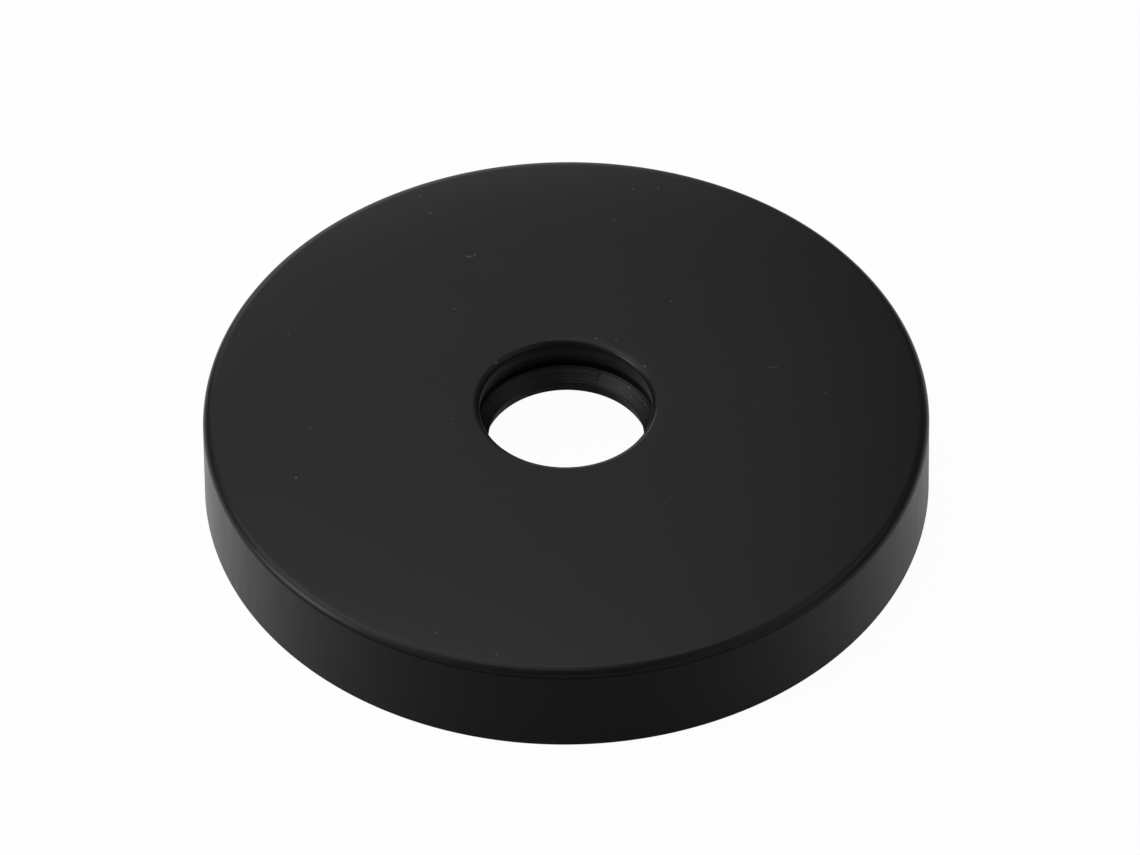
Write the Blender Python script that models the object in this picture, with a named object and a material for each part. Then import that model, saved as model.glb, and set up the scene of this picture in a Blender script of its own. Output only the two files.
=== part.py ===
"""Shower arm flange: a round cover with a hollow back, and the soft ring in its bore that grips the pipe.

Metres, +Z up. The origin is at the centre of the rim that lies against the wall, and +Z runs along the
pipe, away from the wall. Both pieces are turned sections, given as (radius, height) points.
"""

import math

import bpy

# The pipe that passes through, a half-inch pipe of 21.3 mm
PIPE_RADIUS = 0.01065
PIPE_CLEARANCE = 0.00035  # between the pipe and the lip of the cover
GRIP_BITE = 0.0006  # how far the ring's edge reaches into the pipe's own radius

# Cover, outside
OUTER_RADIUS = 0.047  # at the wall rim
HEIGHT = 0.0135  # at the edge of the hole, where the face stands highest
FACE_CROWN = 0.0006  # how much lower the face is at its outer corner
FACE_ROLL = 4  # the power of the distance from the hole with which the face falls away
CORNER_RADIUS = 0.0013  # from the face to the skirt
SKIRT_DRAFT = math.radians(1.4)  # the skirt leans inwards by this from the rim to the face
RIM_EDGE_RADIUS = 0.0001

# Cover, lip of the hole
LIP_RADIUS = 0.0012  # from the face into the hole
LIP_DEPTH = 0.0037  # from the face to the lip's lower edge
LIP_OVERHANG = 0.0008  # how far the lip stands in over the ring

# Cover, inside
FACE_WALL = 0.0018  # at the outer corner; the underside is flat
SKIRT_WALL = 0.0016
INSIDE_CORNER_RADIUS = 0.001
COLLAR_WALL = 0.0022
COLLAR_ROOT_RADIUS = 0.0008
COLLAR_EDGE_RADIUS = 0.0002

# Grip ring
RING_DROP = 0.0012  # from the lip's lower edge to the ring's top
RING_HEIGHT = 0.0035
GRIP_DEPTH = 0.00135  # from the ring's top to its narrowest edge
GRIP_UNDERCUT = 0.0003  # height of the step back under that edge
FLANGE_THICKNESS = 0.0009
RING_EDGE_RADIUS = 0.00015
SEAT_CLEARANCE = 0.0003  # all round the ring, where it touches the cover

# Facets
COVER_SEGMENTS = 96
FACE_STEPS = 8
RING_SEGMENTS = 72
ARC_TOLERANCE = 0.00002  # how far a facet may lie inside its arc

# Radii and heights that follow from the sizes above
BORE_RADIUS = PIPE_RADIUS + PIPE_CLEARANCE
GRIP_RADIUS = PIPE_RADIUS - GRIP_BITE
RING_RADIUS = BORE_RADIUS + LIP_OVERHANG
POCKET_RADIUS = RING_RADIUS + SEAT_CLEARANCE
COLLAR_RADIUS = POCKET_RADIUS + COLLAR_WALL
CORNER_HEIGHT = HEIGHT - FACE_CROWN
LIP_EDGE_HEIGHT = HEIGHT - LIP_DEPTH
RING_TOP = LIP_EDGE_HEIGHT - RING_DROP
RING_BOTTOM = RING_TOP - RING_HEIGHT
FLANGE_TOP = RING_BOTTOM + FLANGE_THICKNESS
COLLAR_END = FLANGE_TOP + SEAT_CLEARANCE
FACE_UNDERSIDE = CORNER_HEIGHT - FACE_WALL


def arc(centre, radius, start, end):
    """Points along a circular arc in the (radius, height) plane, from one angle in degrees to another."""
    widest_step = 2 * math.degrees(math.acos(1 - min(ARC_TOLERANCE / radius, 1)))
    steps = math.ceil(abs(end - start) / widest_step)
    angles = [math.radians(start + (end - start) * i / steps) for i in range(steps + 1)]
    return [(centre[0] + radius * math.cos(a), centre[1] + radius * math.sin(a)) for a in angles]


def rounded(before, corner, after, radius):
    """An arc that rounds the corner of the path before, corner, after."""
    to_before = unit(corner, before)
    to_after = unit(corner, after)
    half_angle = math.acos(dot(to_before, to_after)) / 2
    bisector = unit((0, 0), (to_before[0] + to_after[0], to_before[1] + to_after[1]))
    reach = radius / math.sin(half_angle)
    centre = (corner[0] + bisector[0] * reach, corner[1] + bisector[1] * reach)
    tangent = radius / math.tan(half_angle)
    start = angle_of(centre, (corner[0] + to_before[0] * tangent, corner[1] + to_before[1] * tangent))
    end = angle_of(centre, (corner[0] + to_after[0] * tangent, corner[1] + to_after[1] * tangent))
    turn = (end - start + 180) % 360 - 180
    return arc(centre, radius, start, start + turn)


def unit(start, end):
    """The direction from one point to another, with length 1."""
    run, rise = end[0] - start[0], end[1] - start[1]
    length = math.hypot(run, rise)
    return (run / length, rise / length)


def dot(a, b):
    return a[0] * b[0] + a[1] * b[1]


def angle_of(centre, point):
    """The angle in degrees at which a point lies from a centre."""
    return math.degrees(math.atan2(point[1] - centre[1], point[0] - centre[0]))


def skirt_radius(height):
    """Outer radius of the skirt, which narrows towards the face."""
    return OUTER_RADIUS - height * math.tan(SKIRT_DRAFT)


def lip_flare():
    """From the narrowest point of the bore, an arc that widens to the lip's lower edge."""
    drop = LIP_DEPTH - LIP_RADIUS
    radius = (drop**2 + LIP_OVERHANG**2) / (2 * LIP_OVERHANG)
    sweep = math.degrees(2 * math.atan(LIP_OVERHANG / drop))
    centre = (BORE_RADIUS + radius, HEIGHT - LIP_RADIUS)
    return arc(centre, radius, 180, 180 + sweep)


def face_crown():
    """The face, nearly flat round the hole, which rolls off slightly towards the outer corner."""
    inner = BORE_RADIUS + LIP_RADIUS
    outer = skirt_radius(CORNER_HEIGHT)
    points = []
    for step in range(FACE_STEPS + 1):
        share = step / FACE_STEPS
        points.append((inner + (outer - inner) * share, HEIGHT - FACE_CROWN * share**FACE_ROLL))
    return points


def cover_section():
    """The cover's section: the face, the outside, the rim, the hollow back, and the bore up to the lip."""
    face = face_crown()
    face_corner = (skirt_radius(CORNER_HEIGHT), CORNER_HEIGHT)
    rim_outside = (OUTER_RADIUS, 0)
    rim_inside = (OUTER_RADIUS - SKIRT_WALL, 0)
    hollow_corner = (skirt_radius(FACE_UNDERSIDE) - SKIRT_WALL, FACE_UNDERSIDE)
    collar_root = (COLLAR_RADIUS, FACE_UNDERSIDE)
    collar_outside = (COLLAR_RADIUS, COLLAR_END)
    collar_inside = (POCKET_RADIUS, COLLAR_END)
    pocket_top = (POCKET_RADIUS, LIP_EDGE_HEIGHT)
    lip_centre = (BORE_RADIUS + LIP_RADIUS, HEIGHT - LIP_RADIUS)

    section = face[:-1]
    section += rounded(face[-2], face_corner, rim_outside, CORNER_RADIUS)
    section += rounded(face_corner, rim_outside, rim_inside, RIM_EDGE_RADIUS)
    section += rounded(rim_outside, rim_inside, hollow_corner, RIM_EDGE_RADIUS)
    section += rounded(rim_inside, hollow_corner, collar_root, INSIDE_CORNER_RADIUS)
    section += rounded(hollow_corner, collar_root, collar_outside, COLLAR_ROOT_RADIUS)
    section += rounded(collar_root, collar_outside, collar_inside, COLLAR_EDGE_RADIUS)
    section += rounded(collar_outside, collar_inside, pocket_top, COLLAR_EDGE_RADIUS)
    section += [pocket_top]
    section += list(reversed(lip_flare()))
    section += arc(lip_centre, LIP_RADIUS, 180, 90)[1:-1]
    return section


def ring_section():
    """The ring's section: a cone down to the edge that grips, a step back to the land, and a flange behind."""
    top_outside = (RING_RADIUS, RING_TOP)
    grip_edge = (GRIP_RADIUS, RING_TOP - GRIP_DEPTH)
    land_top = (PIPE_RADIUS, RING_TOP - GRIP_DEPTH - GRIP_UNDERCUT)
    land_bottom = (PIPE_RADIUS, RING_BOTTOM)
    flange_bottom = (COLLAR_RADIUS, RING_BOTTOM)
    flange_top = (COLLAR_RADIUS, FLANGE_TOP)
    flange_root = (RING_RADIUS, FLANGE_TOP)

    section = [top_outside]
    section += [flange_root]
    section += rounded(flange_root, flange_top, flange_bottom, RING_EDGE_RADIUS)
    section += rounded(flange_top, flange_bottom, land_bottom, RING_EDGE_RADIUS)
    section += rounded(flange_bottom, land_bottom, land_top, RING_EDGE_RADIUS)
    section += [land_top]
    section += [grip_edge]
    return section


def coating(name, colour, roughness):
    """A plain painted or moulded surface."""
    material = bpy.data.materials.new(name)
    material.use_nodes = True
    shader = material.node_tree.nodes["Principled BSDF"]
    shader.inputs["Base Color"].default_value = (*colour, 1)
    shader.inputs["Roughness"].default_value = roughness
    material.diffuse_color = (*colour, 1)
    return material


def turned(name, section, segments, material):
    """Turns a closed section once round the Z axis."""
    count = len(section)
    edges = [(i, (i + 1) % count) for i in range(count)]
    mesh = bpy.data.meshes.new(name)
    mesh.from_pydata([(radius, 0, height) for radius, height in section], edges, [])
    piece = bpy.data.objects.new(name, mesh)
    bpy.context.scene.collection.objects.link(piece)
    mesh.materials.append(material)
    turn = piece.modifiers.new("turn", "SCREW")
    turn.axis = "Z"
    turn.angle = math.tau
    turn.steps = segments
    turn.render_steps = segments
    turn.use_merge_vertices = True
    turn.merge_threshold = 0.00001
    turn.use_smooth_shade = True
    return piece


def clear_scene():
    for thing in list(bpy.data.objects):
        bpy.data.objects.remove(thing)


def main():
    clear_scene()
    black_coat = coating("black_coat", (0.012, 0.012, 0.012), 0.5)
    black_rubber = coating("black_rubber", (0.02, 0.02, 0.02), 0.6)
    turned("cover", cover_section(), COVER_SEGMENTS, black_coat)
    turned("grip_ring", ring_section(), RING_SEGMENTS, black_rubber)


main()
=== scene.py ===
"""The looks of the shower arm flange: a matte black cover, and the soft ring in its bore.

Metres, +Z up. The wall rim lies at height 0, the face looks up, and the pipe would run along Z.
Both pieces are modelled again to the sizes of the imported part, with finer curves and finishes.
Only the lip of the hole is a little tighter than there, as the photograph shows it.
"""

import math

import bmesh
import bpy
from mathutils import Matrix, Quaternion, Vector


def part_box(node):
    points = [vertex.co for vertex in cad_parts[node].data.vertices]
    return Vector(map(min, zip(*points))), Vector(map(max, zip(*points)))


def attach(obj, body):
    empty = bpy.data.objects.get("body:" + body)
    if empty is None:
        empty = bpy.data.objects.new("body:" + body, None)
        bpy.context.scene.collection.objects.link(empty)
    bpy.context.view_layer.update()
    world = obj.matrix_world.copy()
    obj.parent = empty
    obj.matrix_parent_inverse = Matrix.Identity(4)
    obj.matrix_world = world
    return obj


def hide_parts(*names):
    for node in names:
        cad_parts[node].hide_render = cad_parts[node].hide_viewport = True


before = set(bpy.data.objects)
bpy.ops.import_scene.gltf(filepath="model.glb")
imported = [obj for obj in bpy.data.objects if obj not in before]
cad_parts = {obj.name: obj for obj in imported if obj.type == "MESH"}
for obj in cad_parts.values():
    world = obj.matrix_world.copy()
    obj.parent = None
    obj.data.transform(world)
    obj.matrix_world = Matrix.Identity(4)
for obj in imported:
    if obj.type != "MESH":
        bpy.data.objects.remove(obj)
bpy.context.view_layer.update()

MM = 0.001

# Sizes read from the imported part
cover_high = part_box("cover")[1]
ring_low, ring_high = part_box("grip_ring")
OUTER_RADIUS = cover_high.x
HEIGHT = cover_high.z
COLLAR_RADIUS = ring_high.x
RING_TOP = ring_high.z
RING_BOTTOM = ring_low.z

# Cover
FACE_CROWN = 0.6 * MM  # how much lower the face is at its outer corner
FACE_ROLL = 4  # the power of the distance from the hole with which the face falls away
CORNER_RADIUS = 1.3 * MM  # from the face to the skirt
SKIRT_DRAFT = math.radians(1.4)  # the skirt leans inwards by this from the rim to the face
RIM_EDGE_RADIUS = 0.1 * MM
BORE_RADIUS = 11.13 * MM
LIP_RADIUS = 0.85 * MM  # from the face into the hole
LIP_DEPTH = 3.7 * MM  # from the face to the lip's lower edge
LIP_OVERHANG = 0.67 * MM  # how far the lip stands in over the ring
FACE_WALL = 1.8 * MM
SKIRT_WALL = 1.6 * MM
INSIDE_CORNER_RADIUS = 1.0 * MM
COLLAR_ROOT_RADIUS = 0.8 * MM
COLLAR_EDGE_RADIUS = 0.2 * MM
SEAT_CLEARANCE = 0.3 * MM  # all round the ring, where it touches the cover

# Grip ring
RING_RADIUS = BORE_RADIUS + LIP_OVERHANG
GRIP_RADIUS = 10.05 * MM
GRIP_DEPTH = 1.35 * MM  # from the ring's top to its narrowest edge
GRIP_UNDERCUT = 0.3 * MM  # height of the step back under that edge
LAND_RADIUS = 10.65 * MM
FLANGE_THICKNESS = 0.9 * MM
RING_EDGE_RADIUS = 0.15 * MM
RING_TOP_EDGE_RADIUS = 0.07 * MM
RIDGE_HEIGHT = 0.05 * MM  # of the fine moulded lines on the ring's cone
RIDGE_WIDTH = 0.1 * MM
RIDGES = (0.1, 0.92)  # where they lie, as shares of the cone from its outer edge
NICK_AZIMUTH = 66.9  # degrees, of the short cut across the cone
NICK_SHARES = (0.2, 0.68)  # where it starts and ends, as shares of the cone
NICK_EDGE = 0.045 * MM
NICK_DEPTH = 0.09 * MM

# Heights and radii that follow
CORNER_HEIGHT = HEIGHT - FACE_CROWN
FACE_UNDERSIDE = CORNER_HEIGHT - FACE_WALL
HOLE_RADIUS = BORE_RADIUS + LIP_RADIUS
LIP_EDGE_HEIGHT = HEIGHT - LIP_DEPTH
POCKET_RADIUS = RING_RADIUS + SEAT_CLEARANCE
GRIP_HEIGHT = RING_TOP - GRIP_DEPTH
FLANGE_TOP = RING_BOTTOM + FLANGE_THICKNESS
COLLAR_END = FLANGE_TOP + SEAT_CLEARANCE

# How finely the pieces are modelled
SEGMENTS = 288  # round each circle
FACE_STEPS = 24  # from the outer corner to the hole
FILLET_STEPS = 10
SMOOTH_ANGLE = math.radians(32)
NEAR = 0.002 * MM  # how far an edge or a face may lie from the place where it is looked for

# Gloss: a white specular tint reflects at every angle, and a black one only at a grazing angle
ALL_ROUND = (1, 1, 1, 1)
# the black tint is used where a duller gloss is painted shade: the cover's walls and neck, and the ring's
# back
GRAZING_ONLY = (0, 0, 0, 1)
SHEEN_ROUGHNESS = 0.4

# Coat of the cover; colours are red, green, blue and 1
BLACK_COAT = (0.003, 0.003, 0.003, 1)
# painted shade: a darker black on the walls than on the face
BLACK_WALL_PAINTED_SHADE = (0.0005, 0.0005, 0.0005, 1)
FACE_ROUGHNESS = 0.33
FACE_CLOUDING = 0.04  # how much the face's roughness varies
FACE_LEVEL = 0.2
WALL_ROUGHNESS = 0.36
WALL_STREAKING = 0.1  # how much the walls' roughness varies
WALL_LEVEL = 0.14
WALL_SHEEN = 0.14
# painted shade: the neck in the hole reflects less than the face
NECK_LEVEL = 0.06
NECK_SHEEN = 0.08
WALL_STARTS = (0.65 * MM, 1.0 * MM)  # drops below the face between which the coat turns to its darker, duller wall copy, which is painted shade
LIP_SOONER = 0.1 * MM  # how much further up that happens at the hole
COAT_GRAIN = 0.22 * MM
COAT_CLOUD = 12 * MM
GRAIN_DEPTH = 0.0006 * MM
STREAK_WIDTH = 1.6 * MM
STREAK_STRETCH = 8  # how many times as high as wide a streak is

# Rubber of the grip ring
BLACK_RUBBER = (0.004, 0.004, 0.004, 1)
RUBBER_ROUGHNESS = 0.36
RUBBER_SPECKLE = 0.1  # how much rougher it is where its grain is highest
RUBBER_LEVEL = 0.2
LINE_LENGTH = 7 * MM
LINE_FINENESS = 0.026  # a line's height, as a share of its length
LINE_DEPTH = 0.08 * MM
RUBBER_GRAIN = 0.15 * MM
RUBBED_DEPTH = 0.06 * MM  # how much deeper the lines are where the cone is rubbed
RUBBED_END = (92, 84)  # degrees; the rubbed lines run from the nick to here
SMOOTH_END = (38, 46)  # degrees; the smoother rubber runs from the nick to here, on its other side
SMOOTHED = 0.06  # how much less rough it is there
NICK_FADE = 3  # degrees from the nick in which both come up

# Dust, where the photograph shows it: pixel and size
DUST_COLOUR = (0.1, 0.1, 0.1, 1)
DUST_SIZE = 0.3 * MM
DUST_CORE = 0.2  # how far from its middle a speck is whole, as a share of its size
DUST_EDGE = 0.62  # how far from its middle it has faded out
FACE_SPECKS = (
    ((595.7, 337.9), 1.0), ((644.0, 365.8), 1.0), ((495.8, 361.6), 1.0), ((429.8, 212.5), 1.0),
    ((295.5, 477.0), 1.0), ((419.9, 195.1), 0.8), ((454.1, 308.5), 0.8), ((288.2, 333.7), 0.8),
    ((632.3, 188.8), 0.8), ((658.0, 188.0), 0.8), ((613.4, 219.7), 0.8), ((670.8, 300.6), 0.8),
    ((615.5, 339.7), 0.8), ((452.3, 418.5), 0.8), ((309.3, 427.9), 0.8), ((825.1, 392.8), 0.8),
    ((496.0, 654.0), 0.8), ((435.0, 632.0), 0.8), ((605.3, 188.5), 0.6), ((641.6, 290.6), 0.6),
    ((617.5, 279.8), 0.6), ((239.3, 334.0), 0.6), ((377.1, 456.2), 0.6), ((434.1, 459.2), 0.6),
    ((401.5, 604.2), 0.6), ((806.2, 347.8), 0.6), ((756.0, 405.0), 0.6), ((810.5, 272.1), 0.6),
    ((713.6, 200.1), 0.6), ((670.5, 496.7), 0.6),
)
CURLED_FIBRE = (
    ((466.4, 255.6), 0.9), ((467.8, 256.3), 0.8), ((469.6, 256.5), 0.7),
    ((471.4, 256.1), 0.7), ((473.2, 255.2), 0.7), ((474.8, 254.2), 0.8),
)
STRAIGHT_FIBRE = tuple(((768.6 + 1.5 * i, 366.7), 0.6) for i in range(6))
FACE_DUST = FACE_SPECKS + CURLED_FIBRE + STRAIGHT_FIBRE
SKIRT_DUST = (((567.0, 697.0), 0.6), ((502.5, 726.0), 0.6))
RING_DUST = (
    ((619.7, 385.8), 0.7), ((623.2, 387.5), 0.5), ((628.9, 386.9), 0.9), ((630.2, 396.4), 0.8),
    ((645.2, 404.6), 0.7), ((643.3, 417.8), 0.6), ((548.3, 383.4), 0.5),
)

# Floor and studio
WHITE = (1, 1, 1, 1)
PAPER = (0.75, 0.75, 0.75, 1)
STUDIO_GREY = (0.2, 0.2, 0.2, 1)
FLOOR_WHITE = 0.97  # how much of the floor is white whatever the light; the rest keeps the shadow
FLOOR_REFLECTED = 0.5  # the same in reflections, where the floor under the object stays shaded
FLOOR_SIZE = 30

# The photograph's frame, in pixels, and the camera that fits its outline
IMAGE_WIDTH = 1140
IMAGE_HEIGHT = 855
FACE_CENTRE_PIXEL = (565.95, 405.98)
FOCAL_PIXELS = 6643.7
SENSOR_WIDTH = 36.0
CAMERA_DISTANCE = 0.85424
CAMERA_ELEVATION = math.radians(45.05)
CAMERA_ROLL = math.radians(-0.65)
SIGHT_HALVINGS = 40  # with which a sight line is followed to the surface

# Softboxes: azimuth (0 is right, 90 behind the object), elevation, distance, width, height, strength
SOFTBOXES = {
    "left_low": (193, 15, 0.9, 0.4, 0.38, 6.2),
    "left_high_front": (198, 50, 0.9, 0.4, 0.55, 1.7),
    "left_high_back": (165, 48, 0.9, 0.4, 0.55, 2.55),
    "left_over": (222, 76, 0.9, 0.5, 0.3, 1.7),
    "back_left_high": (112, 57, 0.9, 0.6, 0.3, 1.45),
    "back_low": (102, 22, 0.9, 0.5, 0.3, 2.9),
    "over_back": (90, 74, 0.9, 0.5, 0.3, 1.9),
    "right_high": (0, 50, 0.9, 0.6, 0.4, 0.8),
    "front_right": (325, 25, 0.9, 0.7, 0.5, 0.45),
    "front_left": (225, 30, 0.9, 0.4, 0.5, 0.7),
}


def arc(centre, radius, start, end, steps):
    """Points along a circular arc in the (radius, height) plane, between two angles in degrees."""
    angles = [math.radians(start + (end - start) * i / steps) for i in range(steps + 1)]
    return [(centre[0] + radius * math.cos(a), centre[1] + radius * math.sin(a)) for a in angles]


def skirt_radius(height):
    """Outer radius of the skirt, which narrows towards the face."""
    return OUTER_RADIUS - height * math.tan(SKIRT_DRAFT)


def skirt_height(radius):
    return (OUTER_RADIUS - radius) / math.tan(SKIRT_DRAFT)


def face_height(radius):
    """The face is nearly flat round the hole, and rolls off slightly towards the outer corner."""
    share = max(0, radius - HOLE_RADIUS) / (skirt_radius(CORNER_HEIGHT) - HOLE_RADIUS)
    return HEIGHT - FACE_CROWN * share**FACE_ROLL


def cone_height(radius):
    """The ring's cone, which falls from its outer edge to the edge that grips."""
    return RING_TOP - (RING_RADIUS - radius) * GRIP_DEPTH / (RING_RADIUS - GRIP_RADIUS)


def face_points():
    """The face's section, from the outer corner to the edge of the hole."""
    outer = skirt_radius(CORNER_HEIGHT)
    radii = [outer + (HOLE_RADIUS - outer) * i / FACE_STEPS for i in range(FACE_STEPS + 1)]
    return [(radius, face_height(radius)) for radius in radii]


def cone_point(share, lift=0.0):
    """A place on the ring's cone, by its share of the way from the outer edge to the edge that grips."""
    run, drop = RING_RADIUS - GRIP_RADIUS, GRIP_DEPTH
    slope = math.hypot(run, drop)
    radius = RING_RADIUS - run * share - lift * drop / slope
    return (radius, RING_TOP - drop * share + lift * run / slope)


def start_circle(name, radius, height):
    """Adds a circle at its size and height, and leaves it selected in edit mode."""
    bpy.ops.object.select_all(action="DESELECT")
    bpy.ops.mesh.primitive_circle_add(vertices=SEGMENTS, radius=radius, location=(0, 0, height))
    bpy.ops.object.transform_apply(location=True, rotation=False, scale=False)
    piece = bpy.context.object
    piece.name = name
    piece.data.name = name
    bpy.ops.object.mode_set(mode="EDIT")
    bpy.ops.mesh.select_mode(type="EDGE")
    bpy.ops.mesh.select_all(action="SELECT")
    return piece


def draw_out(path):
    """Extrudes the selected circle along a path of (radius, height) places, then closes the section."""
    for (radius, height), (next_radius, next_height) in zip(path, path[1:]):
        rise = {"value": (0, 0, next_height - height)}
        bpy.ops.mesh.extrude_region_move(TRANSFORM_OT_translate=rise)
        scale = next_radius / radius
        bpy.ops.transform.resize(value=(scale, scale, 1), center_override=(0, 0, next_height))
    bpy.ops.mesh.select_all(action="DESELECT")
    bpy.ops.mesh.select_non_manifold(extend=False)
    bpy.ops.mesh.bridge_edge_loops()
    bpy.ops.mesh.select_all(action="SELECT")
    bpy.ops.mesh.normals_make_consistent(inside=False)


def select_circle(piece, radius, height):
    """Selects the circle of edges at a radius and height."""
    bpy.ops.mesh.select_all(action="DESELECT")
    mesh = bmesh.from_edit_mesh(piece.data)
    for edge in mesh.edges:
        ends = [abs(v.co.xy.length - radius) + abs(v.co.z - height) for v in edge.verts]
        edge.select_set(max(ends) < NEAR)
    bmesh.update_edit_mesh(piece.data)


def round_circle(piece, place, radius, turn=90.0):
    """Rounds the edge at a place of the section, where the section turns by an angle in degrees."""
    select_circle(piece, *place)
    reach = radius * math.tan(math.radians(turn) / 2)
    bpy.ops.mesh.bevel(offset=reach, segments=FILLET_STEPS, affect="EDGES")


def finish_turning(piece):
    """Shades a turned piece smooth, with its flat faces kept flat."""
    bpy.ops.object.mode_set(mode="OBJECT")
    bpy.ops.object.shade_smooth_by_angle(angle=SMOOTH_ANGLE)
    weigh = piece.modifiers.new("flat_faces", "WEIGHTED_NORMAL")
    weigh.keep_sharp = True
    bpy.ops.object.modifier_apply(modifier=weigh.name)


def model_cover():
    """The cover: skirt, face, lip, pocket of the ring, collar and hollow back, in one turned section."""
    lip_centre = (BORE_RADIUS + LIP_RADIUS, HEIGHT - LIP_RADIUS)
    flare_drop = LIP_DEPTH - LIP_RADIUS
    flare_radius = (flare_drop**2 + LIP_OVERHANG**2) / (2 * LIP_OVERHANG)
    flare_sweep = math.degrees(2 * math.atan(LIP_OVERHANG / flare_drop))
    flare_centre = (BORE_RADIUS + flare_radius, HEIGHT - LIP_RADIUS)
    rim_outside = (OUTER_RADIUS, 0)
    face = face_points()
    collar_inside = (POCKET_RADIUS, COLLAR_END)
    collar_outside = (COLLAR_RADIUS, COLLAR_END)
    collar_root = (COLLAR_RADIUS, FACE_UNDERSIDE)
    hollow_corner = (skirt_radius(FACE_UNDERSIDE) - SKIRT_WALL, FACE_UNDERSIDE)
    rim_inside = (OUTER_RADIUS - SKIRT_WALL, 0)

    cover = start_circle("flange_cover", *rim_outside)
    draw_out([
        rim_outside,
        *face,
        *arc(lip_centre, LIP_RADIUS, 90, 180, FILLET_STEPS)[1:],
        *arc(flare_centre, flare_radius, 180, 180 + flare_sweep, FILLET_STEPS)[1:],
        (POCKET_RADIUS, LIP_EDGE_HEIGHT),
        collar_inside,
        collar_outside,
        collar_root,
        hollow_corner,
        rim_inside,
    ])
    draft = math.degrees(SKIRT_DRAFT)
    roll = math.degrees(math.atan(FACE_CROWN * FACE_ROLL / (face[0][0] - HOLE_RADIUS)))
    round_circle(cover, face[0], CORNER_RADIUS, 90 - draft - roll)
    round_circle(cover, rim_outside, RIM_EDGE_RADIUS, 90 + draft)
    round_circle(cover, rim_inside, RIM_EDGE_RADIUS, 90 - draft)
    round_circle(cover, hollow_corner, INSIDE_CORNER_RADIUS, 90 + draft)
    round_circle(cover, collar_root, COLLAR_ROOT_RADIUS)
    round_circle(cover, collar_outside, COLLAR_EDGE_RADIUS)
    round_circle(cover, collar_inside, COLLAR_EDGE_RADIUS)
    finish_turning(cover)
    return cover


def cut_nick(piece, start, end):
    """Sinks the one face that lies between two places of the section at the nick's azimuth."""
    bpy.ops.mesh.select_all(action="DESELECT")
    bpy.ops.mesh.select_mode(type="FACE")
    middle = ((start[0] + end[0]) / 2, (start[1] + end[1]) / 2)
    mesh = bmesh.from_edit_mesh(piece.data)
    for face in mesh.faces:
        centre = face.calc_center_median()
        azimuth = math.degrees(math.atan2(centre.y, centre.x))
        off = abs(centre.xy.length - middle[0]) + abs(centre.z - middle[1])
        face.select_set(off < NEAR and abs(azimuth - NICK_AZIMUTH) < 180 / SEGMENTS)
    bmesh.update_edit_mesh(piece.data)
    bpy.ops.mesh.inset(thickness=NICK_EDGE, depth=-NICK_DEPTH)


def model_ring():
    """The grip ring: a cone down to the edge that grips, a step back to the land, and the flange behind."""
    top_outside = (RING_RADIUS, RING_TOP)
    grip_edge = (GRIP_RADIUS, GRIP_HEIGHT)
    land_top = (LAND_RADIUS, GRIP_HEIGHT - GRIP_UNDERCUT)
    land_bottom = (LAND_RADIUS, RING_BOTTOM)
    flange_bottom = (COLLAR_RADIUS, RING_BOTTOM)
    flange_top = (COLLAR_RADIUS, FLANGE_TOP)
    flange_root = (RING_RADIUS, FLANGE_TOP)
    half_ridge = RIDGE_WIDTH / 2 / math.hypot(RING_RADIUS - GRIP_RADIUS, GRIP_DEPTH)
    upper, lower = (
        [cone_point(share - half_ridge), cone_point(share, RIDGE_HEIGHT), cone_point(share + half_ridge)]
        for share in RIDGES
    )
    nick_ends = [cone_point(share) for share in NICK_SHARES]

    ring = start_circle("pipe_grip", *top_outside)
    draw_out([
        top_outside,
        *upper,
        *nick_ends,
        *lower,
        grip_edge,
        land_top,
        land_bottom,
        flange_bottom,
        flange_top,
        flange_root,
    ])
    slope = math.degrees(math.atan2(GRIP_DEPTH, RING_RADIUS - GRIP_RADIUS))
    round_circle(ring, top_outside, RING_TOP_EDGE_RADIUS, 90 - slope)
    round_circle(ring, land_bottom, RING_EDGE_RADIUS)
    round_circle(ring, flange_bottom, RING_EDGE_RADIUS)
    round_circle(ring, flange_top, RING_EDGE_RADIUS)
    cut_nick(ring, *nick_ends)
    finish_turning(ring)
    return ring


class Signal:
    """A socket of a finish; arithmetic on it adds the Math nodes that work it out."""

    def __init__(self, finish, socket):
        self.finish = finish
        self.socket = socket

    def math(self, operation, *others):
        return self.finish.math(operation, self, *others)

    def __add__(self, other):
        return self.math("ADD", other)

    def __sub__(self, other):
        return self.math("SUBTRACT", other)

    def __rsub__(self, other):
        return self.finish.math("SUBTRACT", other, self)

    def __mul__(self, other):
        return self.math("MULTIPLY", other)

    __radd__ = __add__
    __rmul__ = __mul__


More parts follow.
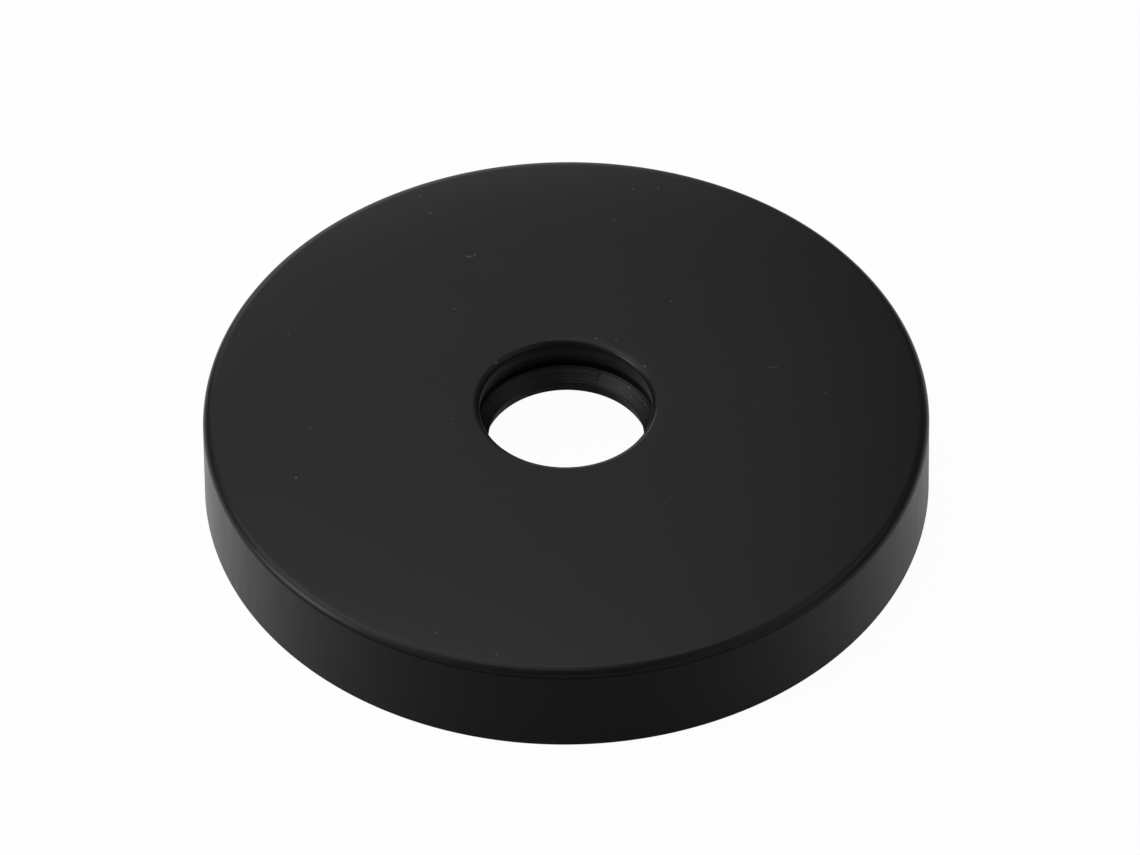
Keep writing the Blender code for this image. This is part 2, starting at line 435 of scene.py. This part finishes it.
class Finish:
    """A material, with one method that adds any node to it."""

    def __init__(self, name):
        self.material = bpy.data.materials.new(name)
        self.material.use_nodes = True
        self.tree = self.material.node_tree
        self.tree.nodes.clear()

    def node(self, kind, settings=None, sockets=None, result=0):
        """Adds a node: its settings first, then the values or links of its sockets. Gives one output."""
        made = self.tree.nodes.new(kind)
        for name, value in (settings or {}).items():
            setattr(made, name, value)
        for name, value in (sockets or {}).items():
            if isinstance(value, Signal):
                self.tree.links.new(value.socket, made.inputs[name])
            else:
                made.inputs[name].default_value = value
        return Signal(self, made.outputs[result]) if made.outputs else None

    def math(self, operation, *values):
        return self.node("ShaderNodeMath", {"operation": operation}, dict(enumerate(values)))

    def fade(self, value, start, end):
        """Rises smoothly from 0 at start to 1 at end, which may be the lower of the two."""
        return self.node(
            "ShaderNodeMapRange", {"interpolation_type": "SMOOTHSTEP"},
            {"Value": value, "From Min": start, "From Max": end},
        )

    def place(self):
        """Where a point of the surface lies on the part, in metres."""
        return self.node("ShaderNodeTexCoord", result="Object")

    def split(self, vector):
        """The three numbers of a vector."""
        node = self.node("ShaderNodeSeparateXYZ", sockets={"Vector": vector}).socket.node
        return [Signal(self, socket) for socket in node.outputs]

    def noise(self, place, size, detail=2.0, stretch=(1, 1, 1)):
        """Soft noise from 0 to 1, with lumps of a size, times a stretch along each direction."""
        scale = [1 / (size * factor) for factor in stretch]
        mapped = self.node("ShaderNodeMapping", sockets={"Vector": place, "Scale": scale})
        return self.node("ShaderNodeTexNoise", sockets={"Vector": mapped, "Scale": 1.0, "Detail": detail})

    def specks(self, place, dust, height_at):
        """Dust on a surface given by its height at a radius: each speck counts as its size and fades out."""
        highest = None
        for pixel, size in dust:
            where = meet(pixel, height_at)
            away = self.node("ShaderNodeVectorMath", {"operation": "DISTANCE"}, {0: place, 1: where}, "Value")
            across = DUST_SIZE * size
            speck = self.fade(away, across * DUST_EDGE, across * DUST_CORE) * size
            highest = highest.math("MAXIMUM", speck) if highest else speck
        return highest

    def blend(self, factor, low, high):
        """A colour between two others, which are the Mix node's sockets 6 and 7; its output is 2."""
        return self.node("ShaderNodeMix", {"data_type": "RGBA"}, {0: factor, 6: low, 7: high}, 2)

    def bump(self, relief):
        """The surface's direction where it has a relief, in metres."""
        return self.node("ShaderNodeBump", sockets={"Strength": 1.0, "Distance": 1.0, "Height": relief})

    def gloss(self, colour, roughness, level, tint, normal, sheen=0.0):
        """A plain shader; the level is how much it reflects, and the tint is at which angles."""
        return self.node("ShaderNodeBsdfPrincipled", sockets={
            "Base Color": colour,
            "Roughness": roughness,
            "Specular IOR Level": level,
            "Specular Tint": tint,
            "Sheen Weight": sheen,
            "Sheen Roughness": SHEEN_ROUGHNESS,
            "Normal": normal,
        })

    def mix(self, share, first, second):
        """One shader where the share is 0, and a second one where it is 1."""
        return self.node("ShaderNodeMixShader", sockets={0: share, 1: first, 2: second})

    def close(self, shader):
        self.node("ShaderNodeOutputMaterial", sockets={"Surface": shader})
        return self.material


# Where the camera stands, and how it is turned: it looks at the centre of the face, which is beside the
# middle of the picture
to_camera = Vector((0, -math.cos(CAMERA_ELEVATION), math.sin(CAMERA_ELEVATION)))
camera_place = Vector((0, 0, CORNER_HEIGHT)) + to_camera * CAMERA_DISTANCE
aside = math.atan((FACE_CENTRE_PIXEL[0] - IMAGE_WIDTH / 2) / FOCAL_PIXELS)
down = math.atan((FACE_CENTRE_PIXEL[1] - IMAGE_HEIGHT / 2) / FOCAL_PIXELS)
camera_turn = (-to_camera).to_track_quat("-Z", "Y")
camera_turn = camera_turn @ Quaternion((0, 0, 1), CAMERA_ROLL)
camera_turn = camera_turn @ Quaternion((0, 1, 0), aside) @ Quaternion((1, 0, 0), down)


def sight_line(pixel):
    """The direction from the camera through a pixel of the photograph."""
    across = (pixel[0] + 0.5 - IMAGE_WIDTH / 2) / FOCAL_PIXELS
    up = (IMAGE_HEIGHT / 2 - pixel[1] - 0.5) / FOCAL_PIXELS
    return camera_turn @ Vector((across, up, -1))


def meet(pixel, height_at):
    """Where the sight line through a pixel meets a turned surface, given the surface's height at a radius."""
    way = sight_line(pixel)
    near = (HEIGHT - camera_place.z) / way.z
    far = -camera_place.z / way.z
    for _ in range(SIGHT_HALVINGS):
        middle = (near + far) / 2
        point = camera_place + way * middle
        if point.z > height_at(point.xy.length):
            near = middle
        else:
            far = middle
    return point


def finish_coat():
    """Matte black coat: even on the face, with a fine grain and a little dust; a darker colour and duller
    gloss on the walls and a duller gloss in the neck are painted shade.
    """
    finish = Finish("black_coat")
    place = finish.place()
    x, y, z = finish.split(place)
    grain = finish.noise(place, COAT_GRAIN)
    cloud = finish.noise(place, COAT_CLOUD)
    streaks = finish.noise(place, STREAK_WIDTH, 1.0, (1, 1, STREAK_STRETCH))

    # How far a place lies below the face, and so whether it is on the face or on a wall
    span = skirt_radius(CORNER_HEIGHT) - HOLE_RADIUS
    share = ((x * x + y * y).math("SQRT") - HOLE_RADIUS) * (1 / span)
    drop = HEIGHT - FACE_CROWN * share.math("MAXIMUM", 0.0).math("POWER", FACE_ROLL) - z
    inside = share.math("LESS_THAN", 0.0)
    walls = finish.fade(drop + inside * LIP_SOONER, *WALL_STARTS)

    dust = finish.specks(place, FACE_DUST, face_height)
    dust = dust.math("MAXIMUM", finish.specks(place, SKIRT_DUST, skirt_height))
    colour = finish.blend(dust, BLACK_COAT, DUST_COLOUR)
    normal = finish.bump(grain * GRAIN_DEPTH)
    face_roughness = FACE_ROUGHNESS - FACE_CLOUDING / 2 + FACE_CLOUDING * cloud
    wall_roughness = WALL_ROUGHNESS - WALL_STREAKING / 2 + WALL_STREAKING * streaks
    face = finish.gloss(colour, face_roughness, FACE_LEVEL, ALL_ROUND, normal)
    # The wall and neck copies of the coat are painted shade: darker in colour on the walls, duller in gloss
    # on both
    wall = finish.gloss(BLACK_WALL_PAINTED_SHADE, wall_roughness, WALL_LEVEL, GRAZING_ONLY, normal, WALL_SHEEN)
    neck = finish.gloss(BLACK_COAT, WALL_ROUGHNESS, NECK_LEVEL, GRAZING_ONLY, normal, NECK_SHEEN)
    return finish.close(finish.mix(walls, face, finish.mix(inside, wall, neck)))


def finish_rubber():
    """Black rubber: fine lines round the cone, rubbed marks beside the nick, dust, and a back whose duller
    gloss is painted shade.
    """
    finish = Finish("black_rubber")
    place = finish.place()
    x, y, z = finish.split(place)
    azimuth = y.math("ARCTAN2", x) * (180 / math.pi)
    lines = finish.noise(place, LINE_LENGTH, 2.0, (1, 1, LINE_FINENESS))
    grain = finish.noise(place, RUBBER_GRAIN)
    rubbed = finish.fade(azimuth, NICK_AZIMUTH, NICK_AZIMUTH + NICK_FADE) * finish.fade(azimuth, *RUBBED_END)
    smooth = finish.fade(azimuth, NICK_AZIMUTH, NICK_AZIMUTH - NICK_FADE) * finish.fade(azimuth, *SMOOTH_END)
    dust = finish.specks(place, RING_DUST, cone_height)
    colour = finish.blend(dust, BLACK_RUBBER, DUST_COLOUR)
    normal = finish.bump(lines * (LINE_DEPTH + rubbed * RUBBED_DEPTH) + grain * GRAIN_DEPTH)
    roughness = RUBBER_ROUGHNESS + RUBBER_SPECKLE * grain - SMOOTHED * smooth
    cone = finish.gloss(colour, roughness, RUBBER_LEVEL, ALL_ROUND, normal)
    # painted shade: the land behind the edge that grips reflects less than the cone
    behind = finish.gloss(BLACK_RUBBER, RUBBER_ROUGHNESS, WALL_LEVEL, GRAZING_ONLY, normal)
    below = finish.fade(z, GRIP_HEIGHT, GRIP_HEIGHT - GRIP_UNDERCUT)
    return finish.close(finish.mix(below, cone, behind))


def finish_floor():
    """Plain white paper that shows white to the camera, half as much in reflections, and clear from below."""
    finish = Finish("white_paper")
    rays = finish.node("ShaderNodeLightPath").socket.node
    kinds = ("Is Camera Ray", "Is Glossy Ray", "Is Transmission Ray")
    straight, glossy, through = (Signal(finish, rays.outputs[kind]) for kind in kinds)
    paper = finish.node("ShaderNodeBsdfDiffuse", sockets={"Color": PAPER})
    white = finish.node("ShaderNodeEmission", sockets={"Color": WHITE, "Strength": 1.0})
    lit = finish.mix(straight * FLOOR_WHITE + (glossy + through) * FLOOR_REFLECTED, paper, white)
    below = finish.node("ShaderNodeNewGeometry", result="Backfacing")
    clear = finish.node("ShaderNodeBsdfTransparent")
    return finish.close(finish.mix(below, lit, clear))


def lay_floor():
    """A wide plain floor at the height of the wall rim."""
    bpy.ops.object.select_all(action="DESELECT")
    bpy.ops.mesh.primitive_plane_add(size=FLOOR_SIZE, location=(0, 0, 0))
    floor = bpy.context.object
    floor.name = "floor"
    floor.data.materials.append(finish_floor())
    return floor


def place_camera():
    """A camera at the photograph's angle, with the face's centre at the same pixel."""
    data = bpy.data.cameras.new("camera")
    data.sensor_width = SENSOR_WIDTH
    data.lens = SENSOR_WIDTH * FOCAL_PIXELS / IMAGE_WIDTH
    camera = bpy.data.objects.new("camera", data)
    bpy.context.scene.collection.objects.link(camera)
    camera.rotation_mode = "QUATERNION"
    camera.rotation_quaternion = camera_turn
    camera.location = camera_place
    bpy.context.scene.camera = camera


def softbox(name, azimuth, elevation, distance, width, height, strength):
    """A flat lamp that looks at the object; strength is how bright its surface looks, where 1 is white."""
    data = bpy.data.lights.new(name, "AREA")
    data.shape = "RECTANGLE"
    data.size = width
    data.size_y = height
    data.energy = strength * math.pi * width * height
    lamp = bpy.data.objects.new(name, data)
    bpy.context.scene.collection.objects.link(lamp)
    turn, rise = math.radians(azimuth), math.radians(elevation)
    away = Vector((math.cos(rise) * math.cos(turn), math.cos(rise) * math.sin(turn), math.sin(rise)))
    lamp.location = away * distance
    lamp.rotation_mode = "QUATERNION"
    lamp.rotation_quaternion = away.to_track_quat("Z", "Y")


def fill_studio():
    """An even grey light from all round."""
    world = bpy.data.worlds.new("studio")
    world.use_nodes = True
    world.node_tree.nodes["Background"].inputs["Color"].default_value = STUDIO_GREY
    bpy.context.scene.world = world


cover = model_cover()
ring = model_ring()
cover.data.materials.append(finish_coat())
ring.data.materials.append(finish_rubber())
for piece, node, slot in ((cover, "cover", "cover_coat"), (ring, "grip_ring", "grip_rubber")):
    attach(piece, "root")
    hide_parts(node)

place_camera()
for name, settings in SOFTBOXES.items():
    softbox(name, *settings)
floor = lay_floor()
fill_studio()
bpy.context.scene.view_settings.view_transform = "Standard"
